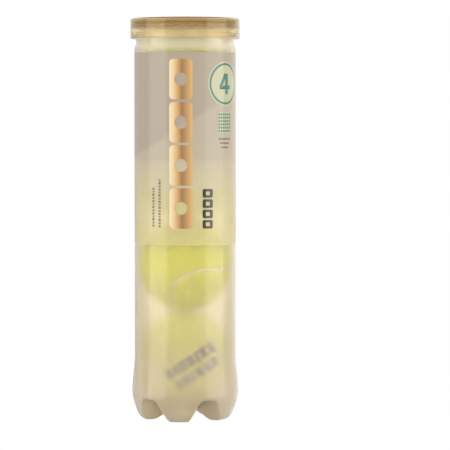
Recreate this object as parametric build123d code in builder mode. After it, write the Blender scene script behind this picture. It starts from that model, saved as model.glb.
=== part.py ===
from build123d import *
import os
from math import cos, pi, sin, sqrt

# Tennis ball can: four pressurised balls in a blown plastic can, closed by a seamed metal end that
# tears off with a ring pull, and by a push-on overcap.
# Millimetres. The can stands on its feet at Z = 0 with its axis on Z, and -Y is the front.

# ---- Driving dimensions ----

# Balls: a rubber core in two halves, two felt panels and the cement that fills the seam between them.
ball_radius = 33.25
felt_depth = 3.2
rubber_depth = 3.3
seam_half_width = 1.3
seam_sink = 0.35  # the cement lies this far below the felt
seam_slack = 0.05  # between the cement and each felt panel
seam_bed = 0.15  # between the cement and the rubber core
seam_major = 0.81  # share of the first harmonic in the seam's curve: sets how wide a panel's waist is
seam_steps = 48
ball_gap = 0.3
# How each ball lies in the can, lowest first: turns about X, Y and Z, in degrees.
ball_turns = ((-142, 27, -156), (74, 151, -77), (-48, 123, 60), (-157, 49, 145))

# Can: a thin blown shell that flares above its feet and necks in under the end.
wall = 0.5
can_radius = 36.35
flare_radius = 38.2
flare_height = 20.5
flare_top = 46.0
shoulder_height = 265.2
groove_radius = 35.15
groove_height = 270.4
neck_radius = 35.35
neck_start = 273.5
neck_top = 282.3
flange_reach = 1.5
flange_drop = 2.3

# Base: a raised hub in the middle, a ring-shaped foot round it, and grooves that part it into feet.
foot_count = 5
front_foot_angle = -97.75  # one foot stands a little to the left of the front
hub_height = 10.0
hub_radius = 6.0
pad_inner_radius = 25.5
pad_outer_radius = 28.6
foot_middle_radius = 36.2
foot_middle_height = 9.8
groove_start = 8.0
groove_end = 42.0
groove_start_height = 10.2
groove_end_height = 16.6
groove_start_floor = 2.2  # half widths, at the ground and at the groove's roof
groove_start_roof = 0.7
groove_end_floor = 18.6
groove_end_roof = 7.0
groove_start_round = 0.4
groove_end_round = 2.6

# Label: a printed film wrapped round the can.
label_bottom = 126.0
label_top = 263.0
label_depth = 0.3
label_slack = 0.03

# Metal end: a seamed ring that stays on the can, and the panel that tears out of it.
sheet = 0.25
seam_top = 283.17
seam_radius = 37.17
seam_bottom = 279.05
cover_hook_radius = 35.95
cover_hook_top = 281.2
chuck_radius = 34.5
countersink_radius = 33.72
countersink_height = 277.2
ring_edge_height = 278.5
compound_inner_radius = 35.1
compound_outer_radius = 36.7
compound_gap = 0.03
panel_radius = 33.25
panel_height = 278.75
panel_rim_height = 278.3
panel_step_outer = 31.2
panel_step_inner = 30.4
panel_bead_radius = 26.5
panel_bead_depth = 0.45

# Ring pull: its tongue is held by the rivet, and its ring swings up about the nose.
tab_base = 279.0
tab_depth = 1.3
nose_x = -29.3
tab_length = 28.5
tab_ring_radius = 10.4
tab_nose_width = 12.0
finger_length = 13.5
finger_width = 13.0
finger_centre_x = -10.6
rivet_x = -23.2
rivet_radius = 2.4
rivet_head_depth = 0.75
tongue_length = 7.0
tongue_width = 6.2
tongue_depth = 0.4
slot_gap = 0.35

# Overcap: a thin lid with a stacking rim, which clips over the seam.
cap_radius = 39.25
cap_skirt = 1.1
cap_bottom = 273.2
cap_top = 287.6
cap_plate_top = 284.6
cap_plate = 1.0
cap_rim_inner = 35.2
cap_bead_depth = 0.5
cap_bead_height = 277.4
cap_edge_round = 1.2

# ---- Values that follow from them ----

core_radius = ball_radius - felt_depth
core_inner_radius = core_radius - rubber_depth
seam_minor = 1 - seam_major
ball_bottom = hub_height + wall + ball_gap
ball_pitch = 2 * ball_radius + ball_gap

os.makedirs("parts", exist_ok=True)


def save(piece, name):
    """Labels one finished piece and writes it as a STEP file of that name."""
    piece.part.label = name
    export_step(piece.part, f"parts/{name}.step")


# ---- Can body ----


def can_profile(inset):
    """Half section of the can through the middle of a foot, moved inwards by inset."""
    floor = inset
    hub = hub_height + inset
    with BuildSketch(Plane.XZ) as profile:
        with BuildLine():
            middle = Line((0, hub), (hub_radius, hub))
            rise = Spline(middle @ 1, (pad_inner_radius + inset / 2, floor), tangents=((1, 0), (1, 0)))
            pad = Line(rise @ 1, (pad_outer_radius - inset / 2, floor))
            toe = Spline(
                pad @ 1,
                (foot_middle_radius - inset, foot_middle_height),
                (flare_radius - inset, flare_height),
                tangents=((1, 0), (0, 1)),
            )
            swell = Spline(toe @ 1, (can_radius - inset, flare_top), tangents=((0, 1), (0, 1)))
            side = Line(swell @ 1, (can_radius - inset, shoulder_height))
            neck_in = Spline(side @ 1, (groove_radius - inset, groove_height), tangents=((0, 1), (0, 1)))
            neck_out = Spline(neck_in @ 1, (neck_radius - inset, neck_start), tangents=((0, 1), (0, 1)))
            collar = Line(neck_out @ 1, (neck_radius - inset, neck_top))
            top = Line(collar @ 1, (0, neck_top))
            Line(top @ 1, middle @ 0)
        make_face()
    return profile.sketch


def groove_section(reach, height, floor_width, roof_width, corner):
    """Cross section of the groove between two feet, at one distance from the axis."""
    with BuildSketch(Plane(origin=(reach, 0, 0), x_dir=(0, 1, 0), z_dir=(1, 0, 0))) as section:
        with BuildLine():
            Polyline(
                (-floor_width, -1),
                (floor_width, -1),
                (roof_width, height),
                (-roof_width, height),
                close=True,
            )
        make_face()
        fillet(section.vertices().group_by(Axis.Z)[-1], radius=corner)
    return section.sketch


def make_vessel(inset):
    """The can's whole outside as a filled solid, moved inwards by inset."""
    side_profile = can_profile(inset)
    widening = 1.2 * inset  # the flanks lean, so moving one in by inset shifts its foot by more
    start_section = groove_section(
        groove_start,
        groove_start_height + inset,
        groove_start_floor + widening,
        groove_start_roof + widening,
        groove_start_round + inset,
    )
    end_section = groove_section(
        groove_end,
        groove_end_height + inset,
        groove_end_floor + widening,
        groove_end_roof + widening,
        groove_end_round + inset,
    )
    with BuildPart() as foot_groove:
        add(start_section)
        add(end_section)
        loft()
    with BuildPart() as vessel:
        add(side_profile)
        revolve(axis=Axis.Z)
        with PolarLocations(0, foot_count, start_angle=front_foot_angle + 180 / foot_count):
            add(foot_groove.part, mode=Mode.SUBTRACT)
    return vessel.part


outside = make_vessel(0)
inside = make_vessel(wall)

with BuildPart() as can_body:
    add(outside)
    # The flange curls out and down at the rim, inside the metal seam.
    with BuildSketch(Plane.XZ):
        with BuildLine():
            Polyline(
                (neck_radius - wall, neck_top - wall),
                (neck_radius + flange_reach - wall, neck_top - wall),
                (neck_radius + flange_reach - wall, neck_top - flange_drop),
                (neck_radius + flange_reach, neck_top - flange_drop),
                (neck_radius + flange_reach, neck_top),
                (neck_radius - wall, neck_top),
                close=True,
            )
        make_face()
    revolve(axis=Axis.Z)
    add(inside, mode=Mode.SUBTRACT)
save(can_body, "can_body")

# ---- Label ----

with BuildPart() as label_sleeve:
    with BuildSketch(Plane.XY.offset(label_bottom)):
        Circle(can_radius + label_slack + label_depth)
        Circle(can_radius + label_slack, mode=Mode.SUBTRACT)
    extrude(amount=label_top - label_bottom)
save(label_sleeve, "label_sleeve")

# ---- Metal end ----

with BuildPart() as end_ring:
    with BuildSketch(Plane.XZ):
        with BuildLine() as seam_line:
            FilletPolyline(
                (countersink_radius, ring_edge_height),
                (countersink_radius, countersink_height),
                (chuck_radius, countersink_height),
                (chuck_radius, seam_top),
                (seam_radius, seam_top),
                (seam_radius, seam_bottom),
                (cover_hook_radius, seam_bottom),
                (cover_hook_radius, cover_hook_top),
                radius=0.35,
            )
        trace(seam_line.line, line_width=sheet)
    revolve(axis=Axis.Z)
save(end_ring, "end_ring")

with BuildPart() as seam_compound:
    with BuildSketch(Plane.XY.offset(neck_top + compound_gap)):
        Circle(compound_outer_radius)
        Circle(compound_inner_radius, mode=Mode.SUBTRACT)
    extrude(amount=seam_top - sheet / 2 - neck_top - 2 * compound_gap)
save(seam_compound, "seam_compound")

with BuildPart() as tear_panel:
    with BuildSketch(Plane.XZ):
        with BuildLine() as panel_line:
            FilletPolyline(
                (panel_radius, panel_rim_height),
                (panel_step_outer, panel_rim_height),
                (panel_step_inner, panel_height),
                (panel_bead_radius + 1.2, panel_height),
                (panel_bead_radius + 0.5, panel_height - panel_bead_depth),
                (panel_bead_radius - 0.5, panel_height - panel_bead_depth),
                (panel_bead_radius - 1.2, panel_height),
                (0, panel_height),
                radius=0.3,
            )
        trace(panel_line.line, line_width=sheet)
        Rectangle(4 * panel_radius, 4 * panel_radius, align=(Align.MAX, Align.CENTER), mode=Mode.SUBTRACT)
    revolve(axis=Axis.Z)
    # The rivet is drawn up from the panel itself.
    with BuildSketch(Plane.XY.offset(panel_height)):
        with Locations((rivet_x, 0)):
            Circle(0.6 * rivet_radius)
    extrude(amount=tab_base + tongue_depth - panel_height)
    with BuildSketch(Plane.XY.offset(tab_base + tongue_depth)):
        with Locations((rivet_x, 0)):
            Circle(rivet_radius)
    extrude(amount=rivet_head_depth)
    head_edge = tear_panel.edges().filter_by(GeomType.CIRCLE).sort_by(Axis.Z)[-1]
    fillet(head_edge, radius=0.5 * rivet_head_depth)
save(tear_panel, "tear_panel")

with BuildPart() as tab_tongue:
    with BuildSketch(Plane.XY.offset(tab_base)):
        with Locations((rivet_x, 0)):
            RectangleRounded(tongue_length, tongue_width, radius=1.2)
            Circle(0.6 * rivet_radius + 0.03, mode=Mode.SUBTRACT)
    extrude(amount=tongue_depth - 0.02)
save(tab_tongue, "tab_tongue")

with BuildPart() as pull_tab:
    ring_x = nose_x + tab_length - tab_ring_radius
    with BuildSketch(Plane.XY.offset(tab_base)):
        with Locations((ring_x, 0)):
            Circle(tab_ring_radius)
        with BuildLine():
            Polyline(
                (nose_x, -tab_nose_width / 2),
                (ring_x, -tab_ring_radius),
                (ring_x, tab_ring_radius),
                (nose_x, tab_nose_width / 2),
                close=True,
            )
        make_face()
        with Locations((finger_centre_x, 0)):
            RectangleRounded(finger_length, finger_width, radius=0.45 * finger_width, mode=Mode.SUBTRACT)
        with Locations((rivet_x, 0)):
            RectangleRounded(
                tongue_length + 2 * slot_gap,
                tongue_width + 2 * slot_gap,
                radius=1.5,
                mode=Mode.SUBTRACT,
            )
    extrude(amount=tab_depth)
    rims = pull_tab.faces().sort_by(Axis.Z)[-1].edges()
    fillet(rims, radius=0.45)
save(pull_tab, "pull_tab")

# ---- Overcap ----

with BuildPart() as overcap:
    with BuildSketch(Plane.XZ):
        with BuildLine():
            Polyline(
                (0, cap_plate_top - cap_plate),
                (cap_radius - cap_skirt, cap_plate_top - cap_plate),
                (cap_radius - cap_skirt, cap_bottom),
                (cap_radius, cap_bottom),
                (cap_radius, cap_top),
                (cap_rim_inner + 1.6, cap_top),
                (cap_rim_inner, cap_plate_top),
                (0, cap_plate_top),
                close=True,
            )
        make_face()
    revolve(axis=Axis.Z)
    # The stacking rim is hollow underneath.
    with BuildSketch(Plane.XZ):
        with BuildLine():
            Polyline(
                (cap_rim_inner + 1.2, cap_plate_top - cap_plate - 0.1),
                (cap_rim_inner + 2.1, cap_top - cap_plate),
                (cap_radius - cap_skirt, cap_top - cap_plate),
                (cap_radius - cap_skirt, cap_plate_top - cap_plate - 0.1),
                close=True,
            )
        make_face()
    revolve(axis=Axis.Z, mode=Mode.SUBTRACT)
    crown = overcap.edges().filter_by(GeomType.CIRCLE).group_by(Axis.Z)[-1]
    fillet(crown.sort_by(SortBy.RADIUS)[-1], radius=cap_edge_round)
    # A bead runs round the inside of the skirt, below the seam.
    with BuildSketch(Plane.XZ):
        with BuildLine():
            Polyline(
                (cap_radius - cap_skirt, cap_bead_height - 0.9),
                (cap_radius - cap_skirt - cap_bead_depth, cap_bead_height - 0.2),
                (cap_radius - cap_skirt - cap_bead_depth, cap_bead_height + 0.2),
                (cap_radius - cap_skirt, cap_bead_height + 0.9),
                (cap_radius - cap_skirt / 2, cap_bead_height),
                close=True,
            )
        make_face()
    revolve(axis=Axis.Z)
save(overcap, "overcap")

# ---- Balls ----


def seam_point(turn):
    """A point of the seam's middle line on the unit sphere."""
    return Vector(
        seam_major * cos(turn) + seam_minor * cos(3 * turn),
        seam_major * sin(turn) - seam_minor * sin(3 * turn),
        2 * sqrt(seam_major * seam_minor) * sin(2 * turn),
    )


def seam_direction(turn):
    """The way that the seam runs at that point."""
    return Vector(
        -seam_major * sin(turn) - 3 * seam_minor * sin(3 * turn),
        seam_major * cos(turn) - 3 * seam_minor * cos(3 * turn),
        4 * sqrt(seam_major * seam_minor) * cos(2 * turn),
    )


def seam_edge(shift, radius):
    """A closed curve beside the seam's middle line, shift away from it, on a sphere of that radius."""
    points = []
    for step in range(seam_steps):
        turn = 2 * pi * step / seam_steps
        middle = seam_point(turn)
        across = middle.cross(seam_direction(turn)).normalized()
        beside = (middle + across * (shift / ball_radius)).normalized()
        points.append(beside * radius)
    return Edge.make_spline(points, periodic=True)


def seam_band(half_width, inner_radius, outer_radius):
    """A closed band that follows the seam all round the ball."""
    left_inner = seam_edge(-half_width, inner_radius)
    right_inner = seam_edge(half_width, inner_radius)
    left_outer = seam_edge(-half_width, outer_radius)
    right_outer = seam_edge(half_width, outer_radius)
    faces = [
        Face.make_surface_from_curves(left_inner, left_outer),
        Face.make_surface_from_curves(left_outer, right_outer),
        Face.make_surface_from_curves(right_outer, right_inner),
        Face.make_surface_from_curves(right_inner, left_inner),
    ]
    return Solid(Shell(faces))


seam_gap = seam_band(seam_half_width, core_radius - 1, ball_radius + 1)

# The sphere is turned so that its own closing line crosses the felt's seam squarely.
with BuildPart() as felt_cover:
    Sphere(ball_radius, rotation=(0, 0, 135))
    Sphere(core_radius, rotation=(0, 0, 135), mode=Mode.SUBTRACT)
    add(seam_gap, mode=Mode.SUBTRACT)
felt_panels = felt_cover.solids().sort_by(Axis.Z)

cement = seam_band(seam_half_width - seam_slack, core_radius + seam_bed, ball_radius - seam_sink)

with BuildPart() as rubber_core:
    Sphere(core_radius)
    Sphere(core_inner_radius, mode=Mode.SUBTRACT)
    split(bisect_by=Plane.XY, keep=Keep.BOTH)
core_halves = rubber_core.solids().sort_by(Axis.Z)

ball_pieces = {
    "core_half_a": core_halves[0],
    "core_half_b": core_halves[-1],
    "felt_panel_a": felt_panels[0],
    "felt_panel_b": felt_panels[-1],
    "felt_seam": cement,
}

for number, turns in enumerate(ball_turns, start=1):
    centre = ball_bottom + ball_radius + (number - 1) * ball_pitch
    for piece_name, solid in ball_pieces.items():
        with BuildPart() as ball_piece:
            with Locations(Location((0, 0, centre), turns)):
                add(solid)
        save(ball_piece, f"ball_{number}_{piece_name}")
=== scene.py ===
import math

import bmesh
import bpy
import numpy as np
from mathutils import Matrix, Vector


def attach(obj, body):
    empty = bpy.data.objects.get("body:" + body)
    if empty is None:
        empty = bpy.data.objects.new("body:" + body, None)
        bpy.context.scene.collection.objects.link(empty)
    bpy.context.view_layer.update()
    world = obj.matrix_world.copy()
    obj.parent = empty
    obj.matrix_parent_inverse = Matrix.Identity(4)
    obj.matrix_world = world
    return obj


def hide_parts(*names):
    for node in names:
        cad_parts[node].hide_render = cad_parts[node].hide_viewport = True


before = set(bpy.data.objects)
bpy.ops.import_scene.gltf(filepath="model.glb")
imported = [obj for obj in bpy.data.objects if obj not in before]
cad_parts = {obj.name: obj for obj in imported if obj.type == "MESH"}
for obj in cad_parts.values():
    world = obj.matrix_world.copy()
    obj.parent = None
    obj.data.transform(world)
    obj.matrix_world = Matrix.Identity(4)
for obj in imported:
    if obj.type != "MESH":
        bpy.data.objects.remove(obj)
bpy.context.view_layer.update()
MM = 0.001

# Lengths are in millimetres, as in the CAD. Materials' heights are in metres.
WALL = 0.5
FOOT_COUNT = 5
FRONT_FOOT = math.radians(-97.75)  # one foot stands a little to the left of the front
CAN_COLUMNS = 300

# Grooves between the feet: from their inner to their outer end, as read from the can's axis.
GROOVE_START, GROOVE_END = 8.0, 42.0
GROOVE_ROOF = (10.2, 16.6)
GROOVE_HALF_AT_FLOOR = (2.2, 18.6)
GROOVE_HALF_AT_ROOF = (0.7, 7.0)

# The label: distances across it are measured round the can at LABEL_RADIUS.
LABEL_RADIUS = 36.5
LABEL_BOTTOM, LABEL_TOP = 126.0, 263.0
FILM_OVERLAP = 4.0
FIELD_RADIUS, PRINT_RADIUS, FIGURE_RADIUS = 36.57, 36.6, 36.62
GOLD_LEFT, GOLD_RIGHT = -10.8, 5.8  # the span of the gold's tones, a painted reflection across the foil

# Metal end.
SHEET = 0.25
RIVET_X = -23.2

# Balls: a stack on the can's axis, each turned its own way about X, Y and Z, in degrees.
BALL_RADIUS = 33.25
SEAM_HALF = 1.3
SEAM_MAJOR = 0.81
BALL_CENTRES = [44.05 + 66.8 * n for n in range(4)]
BALL_TURNS = ((-142, 27, -156), (74, 151, -77), (-48, 123, 60), (-157, 49, 145))


# ---- Mesh helpers ----


def add_mesh(name, vertices, faces, smooth_angle=40):
    """A smooth-shaded object from points in metres. Edges sharper than smooth_angle stay sharp."""
    points = np.array(vertices, float)
    fans = [(f[0], f[k], f[k + 1]) for f in faces for k in range(1, len(f) - 1)]
    corners = points[np.array(fans)] - points.mean(0)
    if np.einsum("ij,ij->i", corners[:, 0], np.cross(corners[:, 1], corners[:, 2])).sum() < 0:
        faces = [tuple(reversed(f)) for f in faces]
    mesh = bpy.data.meshes.new(name)
    mesh.from_pydata(points.tolist(), [], [tuple(map(int, f)) for f in faces])
    mesh.validate()
    mesh.shade_smooth()
    mesh.set_sharp_from_angle(angle=math.radians(smooth_angle))
    obj = bpy.data.objects.new(name, mesh)
    bpy.context.scene.collection.objects.link(obj)
    return obj


def lathe(profile, columns, closed=True, centre=(0, 0)):
    """Vertices and faces of a profile of (radius, height) points, turned about a vertical axis."""
    vertices, faces, rows = [], [], []
    for radius, height in profile:
        if radius < 1e-6:
            rows.append([len(vertices)] * columns)
            vertices.append((centre[0], centre[1], height))
            continue
        rows.append(list(range(len(vertices), len(vertices) + columns)))
        for c in range(columns):
            a = 2 * math.pi * c / columns
            x = centre[0] + radius * math.cos(a)
            y = centre[1] + radius * math.sin(a)
            vertices.append((x, y, height))
    pairs = list(zip(rows, rows[1:]))
    if closed:
        pairs.append((rows[-1], rows[0]))
    for low, high in pairs:
        for c in range(columns):
            d = (c + 1) % columns
            corners = [low[c], low[d], high[d], high[c]]
            corners = [v for i, v in enumerate(corners) if v != corners[i - 1]]
            if len(set(corners)) > 2:
                faces.append(tuple(corners))
    return vertices, faces


def rounded(points, radius, steps=5):
    """A polyline of (x, y) points with its inner corners rounded."""
    line = [Vector(points[0])]
    for before, here, after in zip(points, points[1:], points[2:]):
        here = Vector(here)
        to_before = Vector(before) - here
        to_after = Vector(after) - here
        cut = min(radius, 0.45 * to_before.length, 0.45 * to_after.length)
        start = here + to_before.normalized() * cut
        end = here + to_after.normalized() * cut
        for s in range(steps + 1):
            t = s / steps
            line.append((1 - t) ** 2 * start + 2 * t * (1 - t) * here + t**2 * end)
    line.append(Vector(points[-1]))
    return line


def strip(line, thickness):
    """The closed outline of a band of that thickness along a polyline."""
    left, right = [], []
    for i, point in enumerate(line):
        along = line[min(i + 1, len(line) - 1)] - line[max(i - 1, 0)]
        across = Vector((-along.y, along.x)).normalized() * (thickness / 2)
        left.append(point + across)
        right.append(point - across)
    return left + right[::-1]


def hermite(start, end, start_slope, end_slope, steps):
    """Points of a smooth curve between two (radius, height) points, without the last one."""
    chord = (Vector(end) - Vector(start)).length
    a, b = Vector(start), Vector(end)
    u, v = Vector(start_slope) * chord, Vector(end_slope) * chord
    points = []
    for s in range(steps):
        t = s / steps
        points.append(
            (2 * t**3 - 3 * t**2 + 1) * a
            + (t**3 - 2 * t**2 + t) * u
            + (3 * t**2 - 2 * t**3) * b
            + (t**3 - t**2) * v
        )
    return points


# ---- Materials ----


def new_material(name):
    """An empty node material, and its shader."""
    material = bpy.data.materials.new(name)
    material.use_nodes = True
    shader = material.node_tree.nodes["Principled BSDF"]
    return material, shader


class Nodes:
    """Short names for building a material's nodes."""

    def __init__(self, material):
        self.tree = material.node_tree

    def add(self, kind, inputs=None, **settings):
        node = self.tree.nodes.new(kind)
        for key, value in settings.items():
            setattr(node, key, value)
        for key, value in (inputs or {}).items():
            if hasattr(value, "is_output"):
                self.tree.links.new(value, node.inputs[key])
            else:
                node.inputs[key].default_value = value
        return node

    def link(self, output, socket):
        self.tree.links.new(output, socket)

    def position(self):
        return self.add("ShaderNodeTexCoord").outputs["Object"]

    def axis(self, vector, name):
        return self.add("ShaderNodeSeparateXYZ", {0: vector}).outputs[name]

    def math(self, operation, a, b=0.0, c=0.0):
        return self.add("ShaderNodeMath", {0: a, 1: b, 2: c}, operation=operation).outputs[0]

    def span(self, value, low, high, to_low=0.0, to_high=1.0, smooth=False):
        """The value carried from low..high to to_low..to_high, and held beyond its ends."""
        kind = "SMOOTHSTEP" if smooth else "LINEAR"
        inputs = {"From Min": low, "From Max": high, "To Min": to_low, "To Max": to_high}
        inputs["Value"] = value
        return self.add("ShaderNodeMapRange", inputs, interpolation_type=kind).outputs["Result"]

    def spread(self, noise, to_low=0.0, to_high=1.0):
        """A noise's middle range, which holds most of its values, carried to to_low..to_high."""
        return self.span(noise, 0.3, 0.7, to_low, to_high)

    def noise(self, vector, scale, detail=3.0, roughness=0.5):
        inputs = {"Vector": vector, "Scale": scale, "Detail": detail, "Roughness": roughness}
        return self.add("ShaderNodeTexNoise", inputs).outputs["Fac"]

    def stretch(self, vector, scale):
        return self.add("ShaderNodeMapping", {"Vector": vector, "Scale": scale}).outputs["Vector"]

    def mix(self, factor, a, b):
        node = self.add("ShaderNodeMix", {"Factor": factor}, data_type="RGBA")
        for socket, value in ((node.inputs[6], a), (node.inputs[7], b)):
            if hasattr(value, "is_output"):
                self.tree.links.new(value, socket)
            else:
                socket.default_value = (*value, 1.0)
        return node.outputs[2]

    def ramp(self, value, stops):
        node = self.add("ShaderNodeValToRGB", {"Fac": value})
        points = node.color_ramp.elements
        while len(points) < len(stops):
            points.new(1.0)
        for point, (place, colour) in zip(points, stops):
            point.position = place
            point.color = (*colour, 1.0)
        return node.outputs["Color"]

    def bump(self, height, distance, strength=1.0):
        inputs = {"Height": height, "Distance": distance, "Strength": strength}
        return self.add("ShaderNodeBump", inputs).outputs["Normal"]


def srgb(red, green, blue):
    """A colour given as 0 to 255 display values, in linear light."""
    shares = (v / 255 for v in (red, green, blue))
    return tuple(v / 12.92 if v <= 0.04045 else ((v + 0.055) / 1.055) ** 2.4 for v in shares)


def make_shell():
    """Blown clear plastic: tinted, a little hazy, hazier towards the feet, with painted shade in
    the grooves between the feet and extra haze at the neck that paints in light.
    """
    material, shader = new_material("clear_shell")
    n = Nodes(material)
    position = n.position()
    height = n.axis(position, "Z")
    streaks = n.noise(n.stretch(position, (260, 260, 18)), 1.0, 3.0)
    cloud = n.noise(position, 45.0, 4.0)
    tint = n.mix(n.span(height, 0.03, 0.11, smooth=True), (0.89, 0.79, 0.63), (0.99, 0.91, 0.71))
    # Painted shade: the walls of the grooves between the feet are tinted dark amber, strongest
    # below 11 mm and gone by 18 mm up.
    turn = n.math("ARCTAN2", n.axis(position, "Y"), n.axis(position, "X"))
    turn = n.math("SUBTRACT", turn, FRONT_FOOT)
    from_foot = n.math("WRAP", turn, math.pi / FOOT_COUNT, -math.pi / FOOT_COUNT)
    in_groove = n.span(n.math("ABSOLUTE", from_foot), 0.40, 0.52, smooth=True)
    groove = n.math("MULTIPLY", in_groove, n.span(height, 0.011, 0.018, 0.8, 0.0, smooth=True))
    tint = n.mix(groove, tint, (0.55, 0.42, 0.26))
    # A random cloudy tone over the tint, which already carries the painted groove shade.
    wear_and_shade = n.mix(n.span(cloud, 0.35, 0.75, 0.0, 0.15), tint, (0.93, 0.84, 0.66))
    n.link(wear_and_shade, shader.inputs["Base Color"])
    rough = n.span(height, 0.0, 0.12, 0.42, 0.30, smooth=True)
    n.link(n.math("ADD", rough, n.spread(cloud, -0.015, 0.015)), shader.inputs["Roughness"])
    clear = n.span(height, 0.028, 0.122, 0.79, 0.965, smooth=True)
    # Painted light: the neck is made hazier so that its pale haze shows brighter there.
    neck = n.span(height, 0.262, 0.268, 0.0, 0.26, smooth=True)
    n.link(n.math("SUBTRACT", clear, neck), shader.inputs["Transmission Weight"])
    n.link(n.bump(streaks, 0.00004), shader.inputs["Normal"])
    shader.inputs["IOR"].default_value = 1.5
    shader.inputs["Specular Tint"].default_value = (1.0, 0.93, 0.68, 1.0)
    shader.inputs["Coat Weight"].default_value = 0.6
    shader.inputs["Coat Roughness"].default_value = 0.04
    shader.inputs["Coat IOR"].default_value = 1.5
    return material


def make_label():
    """Printed film: grey-beige ink that fades out downwards, with a faint slanting tone."""
    material, shader = new_material("label_film")
    n = Nodes(material)
    position = n.position()
    height = n.axis(position, "Z")
    across = n.axis(position, "X")
    slant = n.math("ADD", height, n.math("MULTIPLY", across, -0.63))
    tone = n.span(slant, 0.2085, 0.2145, smooth=True)
    share = n.span(height, LABEL_BOTTOM * MM, LABEL_TOP * MM)
    ink = n.ramp(share, [
        (0.10, srgb(232, 219, 160)),
        (0.30, srgb(212, 199, 160)),
        (0.45, srgb(178, 165, 142)),
        (0.60, srgb(172, 159, 140)),
        (1.00, srgb(172, 159, 138)),
    ])
    ink = n.mix(n.math("MULTIPLY", tone, 0.5), ink, srgb(150, 138, 122))
    grain = n.noise(position, 900.0, 2.0)
    ink = n.mix(n.spread(grain, 0.0, 0.10), ink, srgb(150, 138, 120))
    n.link(ink, shader.inputs["Base Color"])
    fade = n.ramp(share, [
        (0.00, (0.42, 0.42, 0.42)),
        (0.12, (0.46, 0.46, 0.46)),
        (0.27, (0.66, 0.66, 0.66)),
        (0.42, (0.96, 0.96, 0.96)),
        (0.60, (1.0, 1.0, 1.0)),
    ])
    n.link(fade, shader.inputs["Alpha"])
    ripple = n.noise(n.stretch(position, (30, 30, 9)), 1.0, 2.0)
    n.link(n.bump(ripple, 0.0002, 0.5), shader.inputs["Normal"])
    shader.inputs["Roughness"].default_value = 0.42
    shader.inputs["Specular IOR Level"].default_value = 0.3
    shader.inputs["Coat Weight"].default_value = 0.5
    shader.inputs["Coat Roughness"].default_value = 0.05
    shader.inputs["Coat IOR"].default_value = 1.5
    return material


def make_ink(name, colour, dark):
    """Solid ink with a slight grain, under the film's gloss."""
    material, shader = new_material(name)
    n = Nodes(material)
    position = n.position()
    grain = n.noise(position, 1400.0, 2.0)
    n.link(n.mix(n.spread(grain), colour, dark), shader.inputs["Base Color"])
    shader.inputs["Roughness"].default_value = 0.4
    shader.inputs["Coat Weight"].default_value = 1.0
    shader.inputs["Coat Roughness"].default_value = 0.05
    return material


def make_gold_ink():
    """Foil-look printing: gold print with a painted reflection from side to side, pale at the left,
    dark brown in the middle, gold again at the right.
    """
    material, shader = new_material("gold_ink")
    n = Nodes(material)
    position = n.position()
    across = n.span(n.axis(position, "X"), GOLD_LEFT * MM, GOLD_RIGHT * MM)
    grain = n.noise(n.stretch(position, (3000, 3000, 200)), 1.0, 2.0)
    place = n.math("ADD", across, n.spread(grain, -0.03, 0.03))
    # Painted reflection: the tones across the foil give a light edge at the left and a dark middle.
    foil_reflection_tones = n.ramp(place, [
        (0.00, srgb(226, 208, 172)),
        (0.18, srgb(221, 190, 142)),
        (0.38, srgb(196, 150, 90)),
        (0.54, srgb(148, 110, 70)),
        (0.66, srgb(166, 124, 76)),
        (1.00, srgb(208, 166, 106)),
    ])
    n.link(foil_reflection_tones, shader.inputs["Base Color"])
    shader.inputs["Roughness"].default_value = 0.35
    shader.inputs["Coat Weight"].default_value = 1.0
    shader.inputs["Coat Roughness"].default_value = 0.05
    return material


def make_lid():
    """Tinted clear moulding; its upper part is painted darker and a little less clear, as painted
    shade standing in for the dark band of the seam beneath.
    """
    material, shader = new_material("tinted_lid")
    n = Nodes(material)
    position = n.position()
    cloud = n.noise(position, 60.0, 4.0)
    # Painted shade: from about 278.5 mm to 281.5 mm up, the lid turns dark brown.
    upper_shade = n.span(n.axis(position, "Z"), 0.2785, 0.2815, smooth=True)
    colour = n.mix(upper_shade, (0.99, 0.88, 0.62), (0.55, 0.42, 0.22))
    wear_and_shade = n.mix(n.spread(cloud, 0.0, 0.2), colour, (0.80, 0.60, 0.32))
    n.link(wear_and_shade, shader.inputs["Base Color"])
    n.link(n.spread(cloud, 0.08, 0.14), shader.inputs["Roughness"])
    n.link(n.bump(n.noise(position, 500.0, 2.0), 0.000003), shader.inputs["Normal"])
    n.link(n.math("MULTIPLY_ADD", upper_shade, -0.06, 0.90), shader.inputs["Transmission Weight"])
    shader.inputs["IOR"].default_value = 1.45
    shader.inputs["Specular Tint"].default_value = (0.90, 0.70, 0.42, 1.0)
    shader.inputs["Coat Weight"].default_value = 0.3
    shader.inputs["Coat Roughness"].default_value = 0.06
    return material


def make_metal(name, colour, grain_scale):
    """Bare aluminium with fine marks from forming."""
    material, shader = new_material(name)
    n = Nodes(material)
    position = n.position()
    lines = n.noise(n.stretch(position, grain_scale), 1.0, 4.0, 0.6)
    cloud = n.noise(position, 120.0, 3.0)
    dull = tuple(0.86 * c for c in colour)
    n.link(n.mix(n.spread(cloud), colour, dull), shader.inputs["Base Color"])
    n.link(n.spread(lines, 0.24, 0.30), shader.inputs["Roughness"])
    n.link(n.bump(lines, 0.000001), shader.inputs["Normal"])
    shader.inputs["Metallic"].default_value = 1.0
    return material


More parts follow.
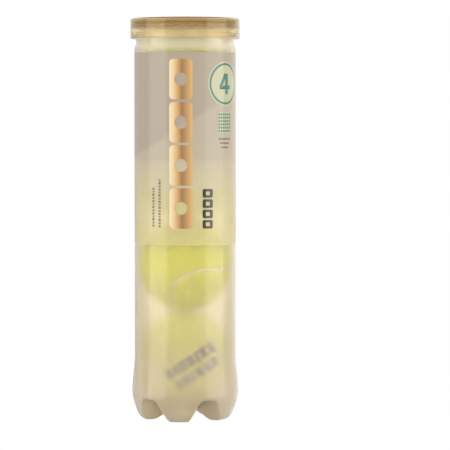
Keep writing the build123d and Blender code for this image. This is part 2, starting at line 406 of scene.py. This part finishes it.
def make_felt():
    """Bright optic-yellow felt: matted fibres with a soft sheen."""
    material, shader = new_material("felt")
    n = Nodes(material)
    position = n.position()
    fibres = n.noise(position, 1500.0, 5.0, 0.65)
    mats = n.noise(position, 260.0, 4.0, 0.6)
    base = n.mix(n.span(fibres, 0.34, 0.66), (0.54, 0.62, 0.05), (0.94, 0.98, 0.20))
    colour = n.mix(n.span(mats, 0.35, 0.65, 0.0, 0.35), base, (0.64, 0.72, 0.08))
    n.link(colour, shader.inputs["Base Color"])
    height = n.math("ADD", n.math("MULTIPLY", fibres, 0.6), mats)
    n.link(n.bump(height, 0.0006, 0.9), shader.inputs["Normal"])
    shader.inputs["Roughness"].default_value = 0.95
    shader.inputs["Specular IOR Level"].default_value = 0.15
    shader.inputs["Sheen Weight"].default_value = 0.5
    shader.inputs["Sheen Roughness"].default_value = 0.45
    shader.inputs["Sheen Tint"].default_value = (0.95, 1.0, 0.45, 1.0)
    return material


def make_matte(name, light, dark, scale, roughness=0.7, bump=0.0001):
    """A plain matte material with a fine mottle."""
    material, shader = new_material(name)
    n = Nodes(material)
    position = n.position()
    mottle = n.noise(position, scale, 4.0, 0.6)
    n.link(n.mix(n.spread(mottle), light, dark), shader.inputs["Base Color"])
    n.link(n.bump(mottle, bump), shader.inputs["Normal"])
    shader.inputs["Roughness"].default_value = roughness
    return material


shell = make_shell()
label_film = make_label()
gold_ink = make_gold_ink()
dark_ink = make_ink("dark_ink", srgb(58, 48, 32), srgb(48, 40, 27))
pale_ink = make_ink("pale_ink", srgb(177, 177, 136), srgb(171, 171, 131))
green_ink = make_ink("green_ink", srgb(62, 112, 98), srgb(52, 100, 88))
grey_ink = make_ink("grey_ink", srgb(108, 97, 80), srgb(96, 86, 70))
tinted_lid = make_lid()
end_metal = make_metal("end_metal", (0.82, 0.82, 0.83), (500, 500, 500))
# The seamed ring is the same aluminium as the end, coloured darker as painted shade for the dark
# band under the lid.
shaded_seam_metal = make_metal("shaded_seam_metal", (0.66, 0.64, 0.61), (300, 300, 2400))
tab_metal = make_metal("tab_metal", (0.84, 0.84, 0.85), (200, 2600, 2600))
sealant = make_matte("sealant", (0.10, 0.11, 0.12), (0.06, 0.07, 0.08), 800.0)
felt = make_felt()
rubber = make_matte("rubber", (0.035, 0.035, 0.04), (0.02, 0.02, 0.022), 300.0, 0.6)
seam_cement = make_matte("seam_cement", (0.80, 0.78, 0.64), (0.70, 0.67, 0.52), 500.0, 0.6)
print_ink = make_matte("print_ink", (0.03, 0.03, 0.034), (0.012, 0.013, 0.016), 1200.0, 0.8)


# ---- Can body ----

def between(ends, share):
    return ends[0] + (ends[1] - ends[0]) * share


def smooth_max(a, b, reach):
    """The larger of two values, with the corner where they meet rounded over that reach."""
    return np.maximum(a, b) + np.maximum(reach - np.abs(a - b), 0) ** 2 / (4 * reach)


def smooth_min(a, b, reach):
    return -smooth_max(-a, -b, reach)


def can_outside():
    """The can's outer line through the middle of a foot, from the hub to the neck."""
    line = [Vector((0.0, 10.0)), Vector((3.0, 10.0))]
    line += hermite((6.0, 10.0), (25.5, 0.0), (1.0, 0.0), (1.0, 0.0), 30)
    line += [Vector((25.5, 0.0)), Vector((27.0, 0.0))]
    line += hermite((28.6, 0.0), (36.2, 9.8), (1.05, 0.0), (0.32, 1.05), 18)
    line += hermite((36.2, 9.8), (38.2, 20.5), (0.30, 0.98), (0.0, 1.0), 12)
    line += hermite((38.2, 20.5), (36.35, 46.0), (0.0, 1.0), (0.0, 1.0), 16)
    line += [Vector((36.35, h)) for h in (46.0, 60.0, 90.0, 130.0, 170.0, 210.0, 250.0)]
    line += hermite((36.35, 265.2), (35.15, 270.4), (0.0, 1.0), (0.0, 1.0), 12)
    line += hermite((35.15, 270.4), (35.35, 273.5), (0.0, 1.0), (0.0, 1.0), 6)
    line += [Vector((35.35, h)) for h in (273.5, 277.0, 281.4)]
    return line


def lift_between_feet(radius, turn, height):
    """The height of the blown base, raised where the groove between two feet passes."""
    step = 2 * math.pi / FOOT_COUNT
    off = (turn - FRONT_FOOT) % step - step / 2
    reach = radius * np.cos(off)
    side = np.abs(radius * np.sin(off))
    share = (reach - GROOVE_START) / (GROOVE_END - GROOVE_START)
    roof = between(GROOVE_ROOF, share)
    floor_half = between(GROOVE_HALF_AT_FLOOR, share)
    roof_half = between(GROOVE_HALF_AT_ROOF, share)
    flank = -1 + (floor_half - side) / np.maximum(floor_half - roof_half, 0.3) * (roof + 1)
    groove = smooth_min(roof, flank, np.clip(1.0 + 2.2 * share, 0.6, 3.2))
    groove = groove - np.clip(11.0 - reach, 0, None) * 0.9
    return smooth_max(height, groove, 2.2)


def make_can():
    """The blown shell: its outside, the seamed flange at its top, and its inside, one wall in."""
    outline = can_outside()
    turns = np.linspace(0, 2 * math.pi, CAN_COLUMNS, endpoint=False)
    radius = np.array([p.x for p in outline])[:, None] * np.ones(CAN_COLUMNS)
    height = np.array([p.y for p in outline])[:, None] * np.ones(CAN_COLUMNS)
    all_turns = np.ones(len(outline))[:, None] * turns
    low = height < 30
    raised = lift_between_feet(radius, all_turns, height)
    height = np.where(low, np.maximum(raised, height), height)
    outer = np.stack([radius * np.cos(all_turns), radius * np.sin(all_turns), height], axis=-1)
    down = np.roll(outer, 1, axis=0)
    down[0] = outer[0]
    up = np.roll(outer, -1, axis=0)
    up[-1] = outer[-1]
    along = up - down
    around = np.roll(outer, -1, axis=1) - np.roll(outer, 1, axis=1)
    normal = np.cross(around, along)
    size = np.linalg.norm(normal, axis=-1, keepdims=True)
    normal = np.where(size > 1e-9, normal / np.maximum(size, 1e-9), (0, 0, -1))
    normal[0] = (0, 0, -1)
    inner = outer - WALL * normal
    rows = list(outer)
    flange = [
        (35.45, 281.7), (36.3, 281.8), (36.35, 280.1), (36.6, 280.0),
        (36.85, 280.1), (36.85, 282.1), (36.65, 282.3), (34.95, 282.3),
    ]
    for r, h in flange:
        level = np.full(CAN_COLUMNS, h)
        rows.append(np.stack([r * np.cos(turns), r * np.sin(turns), level], axis=-1))
    rows += list(inner[::-1])
    vertices, faces, index = [], [], []
    for i, row in enumerate(rows):
        if i in (0, len(rows) - 1):
            index.append([len(vertices)] * CAN_COLUMNS)
            vertices.append(row[0] * MM)
        else:
            index.append(list(range(len(vertices), len(vertices) + CAN_COLUMNS)))
            vertices.extend(row * MM)
    for low_row, high_row in zip(index, index[1:]):
        for c in range(CAN_COLUMNS):
            d = (c + 1) % CAN_COLUMNS
            corners = [low_row[c], low_row[d], high_row[d], high_row[c]]
            corners = [v for i, v in enumerate(corners) if v != corners[i - 1]]
            faces.append(tuple(corners))
    return add_mesh("can_shell", vertices, faces, 60)


can = make_can()
can.data.materials.append(shell)
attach(can, "can")
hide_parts("can_body")


# ---- Label and its printing ----


def on_can(across, height, radius):
    """The point that lies that far round the can from its front line, to the right."""
    turn = -math.pi / 2 + across / LABEL_RADIUS
    return (radius * math.cos(turn) * MM, radius * math.sin(turn) * MM, height * MM)


def make_film():
    """The film goes once round and overlaps itself a little at the back."""
    half_round = math.pi * LABEL_RADIUS
    start, end = -half_round - FILM_OVERLAP, half_round + FILM_OVERLAP
    columns, heights = 320, np.linspace(LABEL_BOTTOM + 0.2, LABEL_TOP - 0.2, 60)
    vertices, faces = [], []
    for c in range(columns + 1):
        across = start + (end - start) * c / columns
        lift = 0.12 * (0.5 + 0.5 * math.tanh((across - start - 10.0) / 2.0)) if across < 0 else 0.12
        rise = 0.10 * (0.5 + 0.5 * math.tanh((across - end + 10.0) / 1.5))
        for h in heights:
            vertices.append(on_can(across, h, 36.42 + 0.3 * lift + rise))
    count = len(heights)
    for c in range(columns):
        for h in range(count - 1):
            a = c * count + h
            faces.append((a, a + count, a + count + 1, a + 1))
    return add_mesh("label_wrap", vertices, faces, 60)


film = make_film()
film.data.materials.append(label_film)
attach(film, "can")
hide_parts("label_sleeve")


def patch(name, outline, material, holes=(), radius=PRINT_RADIUS, step=0.8):
    """A thin printed shape on the can's front. Outlines are (across, height) points."""
    curve = bpy.data.curves.new(name, "CURVE")
    curve.dimensions = "2D"
    curve.fill_mode = "BOTH"
    for loop in [outline, *holes]:
        spline = curve.splines.new("POLY")
        spline.points.add(len(loop) - 1)
        for point, (x, y) in zip(spline.points, loop):
            point.co = (x, y, 0, 1)
        spline.use_cyclic_u = True
    flat = bpy.data.objects.new(name + "_flat", curve)
    bpy.context.scene.collection.objects.link(flat)
    bpy.context.view_layer.update()
    filled = flat.evaluated_get(bpy.context.evaluated_depsgraph_get())
    mesh = bpy.data.meshes.new_from_object(filled)
    bpy.data.objects.remove(flat)
    bm = bmesh.new()
    bm.from_mesh(mesh)
    xs = [v.co.x for v in bm.verts]
    place = min(xs) + step
    while place < max(xs):
        geometry = bm.verts[:] + bm.edges[:] + bm.faces[:]
        bmesh.ops.bisect_plane(bm, geom=geometry, plane_co=(place, 0, 0), plane_no=(1, 0, 0))
        place += step
    for v in bm.verts:
        v.co = on_can(v.co.x, v.co.y, radius)
    bmesh.ops.recalc_face_normals(bm, faces=bm.faces)
    bm.to_mesh(mesh)
    bm.free()
    mesh.name = name
    mesh.materials.clear()
    mesh.materials.append(material)
    mesh.shade_smooth()
    obj = bpy.data.objects.new(name, mesh)
    bpy.context.scene.collection.objects.link(obj)
    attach(obj, "can")
    return obj


def box_outline(x0, x1, y0, y1, corner, steps=6):
    """A rectangle with rounded corners."""
    corners = (
        (x1 - corner, y1 - corner, 0),
        (x0 + corner, y1 - corner, 90),
        (x0 + corner, y0 + corner, 180),
        (x1 - corner, y0 + corner, 270),
    )
    points = []
    for cx, cy, start in corners:
        for s in range(steps + 1):
            a = math.radians(start + 90 * s / steps)
            points.append((cx + corner * math.cos(a), cy + corner * math.sin(a)))
    return points


def ring_outline(x, y, radius, steps=48):
    """A circle as a closed loop of points."""
    turns = [2 * math.pi * s / steps for s in range(steps)]
    return [(x + radius * math.cos(a), y + radius * math.sin(a)) for a in turns]


# A gold column of four rounded blocks, each with a round window.
GOLD_HEIGHT, GOLD_PITCH = 28.6, 30.4
for k in range(4):
    top = 258.0 - k * GOLD_PITCH
    block = box_outline(-10.8, 5.9, top - GOLD_HEIGHT, top, 3.0)
    window = ring_outline(-2.45, top - GOLD_HEIGHT / 2, 4.6)
    patch(f"label_gold_block_{k + 1}", block, gold_ink, [window])

# A short column of small outlined squares beside it.
SQUARE_HEIGHT, SQUARE_PITCH = 6.2, 7.3
for k in range(4):
    top = 166.2 - k * SQUARE_PITCH
    square = box_outline(13.2, 21.2, top - SQUARE_HEIGHT, top, 1.2)
    window = box_outline(15.6, 18.8, top - 4.4, top - 1.8, 0.6)
    patch(f"label_small_square_{k + 1}", square, dark_ink, [window])

# Fine dashes on the left, in two columns.
DASHES_END, DASH_GAP = 139.5, 0.7
for column, (x0, x1, high) in enumerate(((-24.6, -22.6, 167.0), (-19.3, -17.4, 173.0))):
    place, k = high, 0
    while place > DASHES_END:
        length = (1.6, 1.0, 2.0, 1.3)[(k + column) % 4]
        dash = box_outline(x0, x1, place - length, place, 0.5, 3)
        patch(f"label_dash_{column + 1}_{k + 1}", dash, grey_ink)
        place -= length + DASH_GAP
        k += 1

# A pale disc with a dark green ring and a plain figure 4.
disc_x, disc_y = 33.2, 240.6
patch("label_disc", ring_outline(disc_x, disc_y, 15.9, 72), pale_ink, radius=FIELD_RADIUS)
ring, ring_hole = (ring_outline(disc_x, disc_y, radius, 72) for radius in (14.7, 13.2))
patch("label_disc_ring", ring, green_ink, [ring_hole], radius=FIGURE_RADIUS)
figure = [
    (-1.2, 7.2), (3.0, 7.2), (3.0, -1.2), (5.6, -1.2), (5.6, -3.9), (3.0, -3.9),
    (3.0, -7.4), (0.1, -7.4), (0.1, -3.9), (-5.9, -3.9), (-5.9, -1.4),
]
figure_hole = [(0.1, 3.6), (-2.9, -1.2), (0.1, -1.2)]
outline, hole = ([(x + disc_x, y + disc_y) for x, y in loop] for loop in (figure, figure_hole))
patch("label_figure", outline, green_ink, [hole], radius=FIGURE_RADIUS)

# A square of plain dots on a pale field, and three short dashes under it.
DOT_ROWS = 6
DOT_MIDDLE = (DOT_ROWS - 1) / 2
dots_x, dots_y, pitch, half_field = 32.8, 213.0, 2.35, 7.4
field = box_outline(
    dots_x - half_field, dots_x + half_field, dots_y - half_field, dots_y + half_field, 1.0
)
patch("label_dot_field", field, pale_ink, radius=FIELD_RADIUS)
for row in range(DOT_ROWS):
    for column in range(DOT_ROWS):
        x = dots_x + (column - DOT_MIDDLE) * pitch
        y = dots_y + (row - DOT_MIDDLE) * pitch
        patch(f"label_dot_{row + 1}_{column + 1}", ring_outline(x, y, 0.9, 14), green_ink)
for k in range(3):
    y = 201.5 - k * 3.0
    dash = box_outline(26.5 + 1.2 * k, 39.5 - 1.2 * k, y - 0.5, y + 0.5, 0.45, 3)
    patch(f"label_short_dash_{k + 1}", dash, grey_ink)


# ---- Metal end ----

# The seamed ring's middle line, from its scored inner edge over the seam to its hook.
ring_line = rounded(
    [
        (33.72, 278.5), (33.72, 277.2), (34.5, 277.2), (34.5, 283.17), (36.3, 283.17),
        (37.0, 282.5), (37.17, 281.5), (37.05, 280.4), (36.7, 279.5), (36.35, 279.05),
        (35.95, 279.2), (35.95, 281.2),
    ],
    0.4,
)
ring_profile = [(p.x * MM, p.y * MM) for p in strip(ring_line, SHEET)]
seam_ring = add_mesh("seamed_ring", *lathe(ring_profile, 256), 50)
seam_ring.data.materials.append(shaded_seam_metal)
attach(seam_ring, "can")
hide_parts("end_ring")

# The torn panel's middle line, from its scored edge inwards, and its rivet.
panel_line = rounded(
    [
        (33.25, 278.3), (31.2, 278.3), (30.4, 278.75), (27.7, 278.75), (27.0, 278.3),
        (26.0, 278.3), (25.3, 278.75), (12.0, 278.75), (0.3, 278.75),
    ],
    0.6,
)
panel_band = strip(panel_line, SHEET)
half = len(panel_band) // 2
middle = [Vector((0.0, panel_band[half - 1].y)), Vector((0.0, panel_band[half].y))]
panel_profile = panel_band[:half] + middle + panel_band[half:]
panel_points, panel_faces = lathe([(p.x * MM, p.y * MM) for p in panel_profile], 192)
rivet_profile = [
    (0.0, 278.7), (1.44, 278.7), (1.44, 279.38), (2.4, 279.4), (2.4, 279.75),
    (2.28, 280.0), (2.0, 280.12), (1.6, 280.15), (0.9, 280.02), (0.0, 279.98),
]
rivet_line = [(r * MM, h * MM) for r, h in rivet_profile]
rivet_points, rivet_faces = lathe(rivet_line, 48, closed=False, centre=(RIVET_X * MM, 0))
panel_faces += [tuple(v + len(panel_points) for v in f) for f in rivet_faces]
panel = add_mesh("torn_panel", panel_points + rivet_points, panel_faces, 50)
panel.data.materials.append(end_metal)
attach(panel, "panel")
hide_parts("tear_panel")

# These keep their CAD shape.
for node, material, slot_name in (
    ("seam_compound", sealant, "sealant"),
    ("tab_tongue", tab_metal, "tab_metal"),
    ("pull_tab", tab_metal, "tab_metal"),
):
    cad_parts[node].data.materials.clear()
    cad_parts[node].data.materials.append(material)


# ---- Overcap ----

# Its outline from the middle of the top, over the stacking rim and down the skirt, and back inside.
cap_line = [
    (0.0, 284.6), (20.0, 284.6), (33.5, 284.6), (34.6, 284.66), (35.15, 284.95), (35.5, 285.6),
    (36.2, 286.9), (36.6, 287.38), (37.1, 287.56), (37.6, 287.6), (38.1, 287.56), (38.6, 287.38),
    (38.95, 287.1), (39.17, 286.7), (39.25, 286.2), (39.25, 283.0), (39.25, 279.0), (39.25, 275.6),
    (39.22, 274.0), (39.12, 273.5), (38.9, 273.25), (38.6, 273.2), (38.3, 273.3), (38.17, 273.6),
    (38.15, 276.3), (37.9, 276.8), (37.68, 277.2), (37.66, 277.6), (37.9, 278.0), (38.15, 278.5),
    (38.15, 285.9), (38.0, 286.35), (37.7, 286.6), (37.3, 286.55), (37.0, 286.2), (36.4, 283.9),
    (36.1, 283.65), (35.6, 283.6), (20.0, 283.6), (0.0, 283.6),
]
cap_profile = [(r * MM, h * MM) for r, h in cap_line]
lid = add_mesh("lid_shell", *lathe(cap_profile, 288, closed=False), 50)
lid.data.materials.append(tinted_lid)
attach(lid, "cap")
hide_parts("overcap")


# ---- Balls ----

def seam_curve(turn):
    """Points of the seam's middle line on the unit sphere, and the way across it."""
    minor = 1 - SEAM_MAJOR
    rise = 2 * math.sqrt(SEAM_MAJOR * minor)
    point = np.stack([
        SEAM_MAJOR * np.cos(turn) + minor * np.cos(3 * turn),
        SEAM_MAJOR * np.sin(turn) - minor * np.sin(3 * turn),
        rise * np.sin(2 * turn),
    ], axis=-1)
    along = np.stack([
        -SEAM_MAJOR * np.sin(turn) - 3 * minor * np.sin(3 * turn),
        SEAM_MAJOR * np.cos(turn) - 3 * minor * np.cos(3 * turn),
        2 * rise * np.cos(2 * turn),
    ], axis=-1)
    across = np.cross(point, along)
    across /= np.linalg.norm(across, axis=-1, keepdims=True)
    return point, across


def sphere_points(level):
    """Vertices and triangles of an even unit sphere."""
    bm = bmesh.new()
    bmesh.ops.create_icosphere(bm, subdivisions=level, radius=1.0)
    points = np.array([v.co[:] for v in bm.verts])
    triangles = np.array([[v.index for v in f.verts] for f in bm.faces])
    bm.free()
    return points / np.linalg.norm(points, axis=1, keepdims=True), triangles


def seam_distance(points):
    """How far each point lies from the seam's middle line, with a sign for the side."""
    turn = np.linspace(0, 2 * math.pi, 1440, endpoint=False)
    middle, across = seam_curve(turn)
    distance = np.empty(len(points))
    for start in range(0, len(points), 4000):
        part = points[start:start + 4000]
        near = np.argmax(part @ middle.T, axis=1)
        side = np.einsum("ij,ij->i", part - middle[near], across[near])
        reach = np.linalg.norm(part - middle[near], axis=1)
        distance[start:start + 4000] = np.copysign(reach, side) * BALL_RADIUS
    return distance


def keep_side(points, triangles, value):
    """The part of a triangle mesh where value is above zero, cut exactly along zero."""
    value = np.where(np.abs(value) < 0.03, 0.0, value)
    vertices = [tuple(p) for p in points]
    cuts, faces = {}, []

    def cut(a, b):
        key = (min(a, b), max(a, b))
        if key not in cuts:
            share = value[a] / (value[a] - value[b])
            vertices.append(tuple(points[a] + share * (points[b] - points[a])))
            cuts[key] = len(vertices) - 1
        return cuts[key]

    for tri in triangles:
        signs = value[tri]
        if (signs >= 0).all():
            if (signs > 0).any():
                faces.append(tuple(tri))
            continue
        if (signs <= 0).all():
            continue
        loop = []
        for k in range(3):
            a, b = tri[k], tri[(k + 1) % 3]
            if value[a] >= 0:
                loop.append(a)
            if value[a] * value[b] < 0:
                loop.append(cut(a, b))
        faces.append(tuple(loop))
    used = sorted({v for face in faces for v in face})
    place = {v: i for i, v in enumerate(used)}
    return np.array([vertices[v] for v in used]), [tuple(place[v] for v in f) for f in faces]


def felt_half(side):
    """One felt panel of a ball round the origin: a rough surface, rolled down at the seam."""
    points, triangles = sphere_points(7)
    distance = seam_distance(points) * side
    points, faces = keep_side(points, triangles, distance - SEAM_HALF)
    points /= np.linalg.norm(points, axis=1, keepdims=True)
    inside = np.maximum(seam_distance(points) * side - SEAM_HALF, 0)
    rng = np.random.default_rng(11 + int(side))
    waves = np.zeros(len(points))
    for _ in range(60):
        direction = rng.normal(size=3)
        direction /= np.linalg.norm(direction)
        count = rng.uniform(25, 90)
        waves += np.sin(points @ direction * count + rng.uniform(0, 6.28)) / 60**0.5
    fuzz = rng.normal(size=len(points)) * 0.035
    radius = BALL_RADIUS - 0.12 - 0.34 * np.exp(-inside / 0.55) + 0.05 * waves + fuzz
    return points * radius[:, None], faces


def seam_strip():
    """The cement line: a shallow band that lies a little below the felt."""
    count = 600
    middle, across = seam_curve(np.linspace(0, 2 * math.pi, count, endpoint=False))
    half_band = 1.65
    offsets = np.linspace(-half_band, half_band, 9)
    rows = []
    for offset in offsets:
        row = middle + across * offset / BALL_RADIUS
        row /= np.linalg.norm(row, axis=-1, keepdims=True)
        crown = 0.10 * math.cos(offset / half_band * math.pi / 2)
        rows.append(row * (BALL_RADIUS - 0.52 + crown))
    points = np.concatenate(rows)
    faces = []
    for r in range(len(offsets) - 1):
        for c in range(count):
            d = (c + 1) % count
            faces.append((r * count + c, r * count + d, (r + 1) * count + d, (r + 1) * count + c))
    return points, faces


def turned(turns):
    """The turn that the CAD gives a ball: about X, then its own Y, then its own Z."""
    x, y, z = (math.radians(t) for t in turns)
    return np.array(
        Matrix.Rotation(x, 3, "X") @ Matrix.Rotation(y, 3, "Y") @ Matrix.Rotation(z, 3, "Z")
    )


felt_a = felt_half(-1)
felt_b = felt_half(1)
band = seam_strip()
for number, (centre, turns) in enumerate(zip(BALL_CENTRES, BALL_TURNS), start=1):
    matrix = turned(turns)
    body = f"ball_{number}"
    for name, (points, faces), material, node in (
        ("felt_low", felt_a, felt, "felt_panel_a"),
        ("felt_high", felt_b, felt, "felt_panel_b"),
        ("seam_line", band, seam_cement, "felt_seam"),
    ):
        placed = points @ matrix.T + (0, 0, centre)
        obj = add_mesh(f"{body}_{name}", placed * MM, faces, 80)
        obj.data.materials.append(material)
        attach(obj, body)
        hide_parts(f"{body}_{node}")
    for half_name in ("core_half_a", "core_half_b"):
        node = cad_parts[f"{body}_{half_name}"]
        node.data.materials.clear()
        node.data.materials.append(rubber)


BAR_HEIGHT, BAR_GAP = 7.4, 1.5


def print_bar(name, start, length, row):
    """A plain printed bar on the front of the lowest ball. Its rows slant upwards."""
    slant = math.radians(33)
    origin = (Vector((-13.1, -11.2)), Vector((-5.2, -18.6)))[row]
    radius = BALL_RADIUS - 0.02
    columns, rows = 8, 8
    vertices, faces = [], []
    for i in range(columns + 1):
        for j in range(rows + 1):
            u = start + length * i / columns
            v = BAR_HEIGHT * (j / rows - 0.5)
            x = origin.x + u * math.cos(slant) - v * math.sin(slant)
            z = origin.y + u * math.sin(slant) + v * math.cos(slant)
            y = -math.sqrt(radius**2 - x**2 - z**2)
            vertices.append((x * MM, y * MM, (z + BALL_CENTRES[0]) * MM))
    for i in range(columns):
        for j in range(rows):
            a = i * (rows + 1) + j
            faces.append((a, a + rows + 1, a + rows + 2, a + 1))
    bar = add_mesh(name, vertices, faces)
    bar.data.materials.append(print_ink)
    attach(bar, "ball_1")


bar_lengths = ((5.0, 3.8, 5.0, 5.0, 2.6, 5.0, 4.2), (4.2, 5.0, 2.8, 5.0, 5.0, 3.8))
for row, lengths in enumerate(bar_lengths):
    place = 0.0
    for k, length in enumerate(lengths):
        print_bar(f"ball_print_{row + 1}_{k + 1}", place, length, row)
        place += length + BAR_GAP


# ---- Floor, light and camera ----

scene = bpy.context.scene

# The floor and the world look plain white, and light the can softly.
floor_material, floor_shader = new_material("studio_white")
n = Nodes(floor_material)
floor_shader.inputs["Base Color"].default_value = (0.85, 0.85, 0.85, 1.0)
floor_shader.inputs["Roughness"].default_value = 0.9
bright = n.add("ShaderNodeEmission", {"Color": (1.0, 1.0, 1.0, 1.0), "Strength": 1.0})
path = n.add("ShaderNodeLightPath")
seen = n.math("MAXIMUM", path.outputs["Is Camera Ray"], path.outputs["Is Transmission Ray"])
both = n.add("ShaderNodeMixShader", {0: seen, 1: floor_shader.outputs[0], 2: bright.outputs[0]})
n.link(both.outputs[0], floor_material.node_tree.nodes["Material Output"].inputs["Surface"])
floor_corners = [(x, y, -0.0002) for x, y in ((-4, -4), (4, -4), (4, 4), (-4, 4))]
floor = add_mesh("studio_floor", floor_corners, [(0, 1, 2, 3)])
floor.data.materials.append(floor_material)
floor.visible_glossy = False

world = bpy.data.worlds.new("studio")
scene.world = world
world.use_nodes = True
n = Nodes(world)
background = world.node_tree.nodes["Background"]
background.inputs["Color"].default_value = (1.0, 1.0, 1.0, 1.0)
path = n.add("ShaderNodeLightPath")
across = n.axis(n.position(), "X")
away = n.axis(n.position(), "Y")
strength = n.math("ADD", 0.65, n.math("MULTIPLY", across, 0.12))
mirrored = n.mix(n.span(away, -0.2, 0.6, smooth=True), (0.2, 0.2, 0.2), (0.78, 0.72, 0.44))
strength = n.mix(path.outputs["Is Glossy Ray"], strength, mirrored)
strength = n.mix(path.outputs["Is Transmission Ray"], strength, (1.5, 1.5, 1.5))
strength = n.mix(path.outputs["Is Camera Ray"], strength, (1.0, 1.0, 1.0))
n.link(strength, background.inputs["Strength"])


def soft_box(name, azimuth, span, distance, low, high, strength):
    """A tall lit panel that faces the can. Its azimuth runs from the can's front to the right."""
    a = math.radians(azimuth)
    centre = Vector((math.sin(a), -math.cos(a), 0)) * distance
    side = Vector((math.cos(a), math.sin(a), 0)) * distance * math.tan(math.radians(span / 2))
    lamp_data = bpy.data.lights.new(name, "AREA")
    lamp_data.shape = "RECTANGLE"
    lamp_data.size = 2 * side.length
    lamp_data.size_y = high - low
    lamp_data.energy = strength * math.pi * lamp_data.size * lamp_data.size_y
    lamp = bpy.data.objects.new(name, lamp_data)
    lamp.location = centre + Vector((0, 0, (low + high) / 2))
    lamp.rotation_euler = (-centre).to_track_quat("-Z", "Y").to_euler()
    lamp.visible_camera = False
    scene.collection.objects.link(lamp)
    return lamp


left_box = soft_box("left_box", -64, 46, 1.2, -0.4, 1.4, 1.85)
right_box = soft_box("right_box", 72.2, 49.6, 1.2, -0.4, 1.4, 1.85)
front_fill = soft_box("front_fill", 3, 84, 1.6, -0.4, 1.6, 1.0)
rim_box = soft_box("rim_box", 150, 38, 1.2, -0.4, 1.4, 0.4)
rim_box.visible_transmission = False
front_fill.visible_glossy = False

camera_data = bpy.data.cameras.new("camera")
camera_data.lens = 200
camera_data.sensor_width = 36
camera_data.clip_start = 0.05
camera = bpy.data.objects.new("camera", camera_data)
camera.location = (0.0287, -1.8, 0.215)
aim = Vector((0.0287, 0, 0.1393)) - camera.location
camera.rotation_euler = aim.to_track_quat("-Z", "Y").to_euler()
scene.collection.objects.link(camera)
scene.camera = camera

scene.view_settings.view_transform = "Standard"
scene.cycles.use_denoising = True
scene.cycles.max_bounces = 24
scene.cycles.transmission_bounces = 20
scene.cycles.glossy_bounces = 6
scene.cycles.transparent_max_bounces = 16
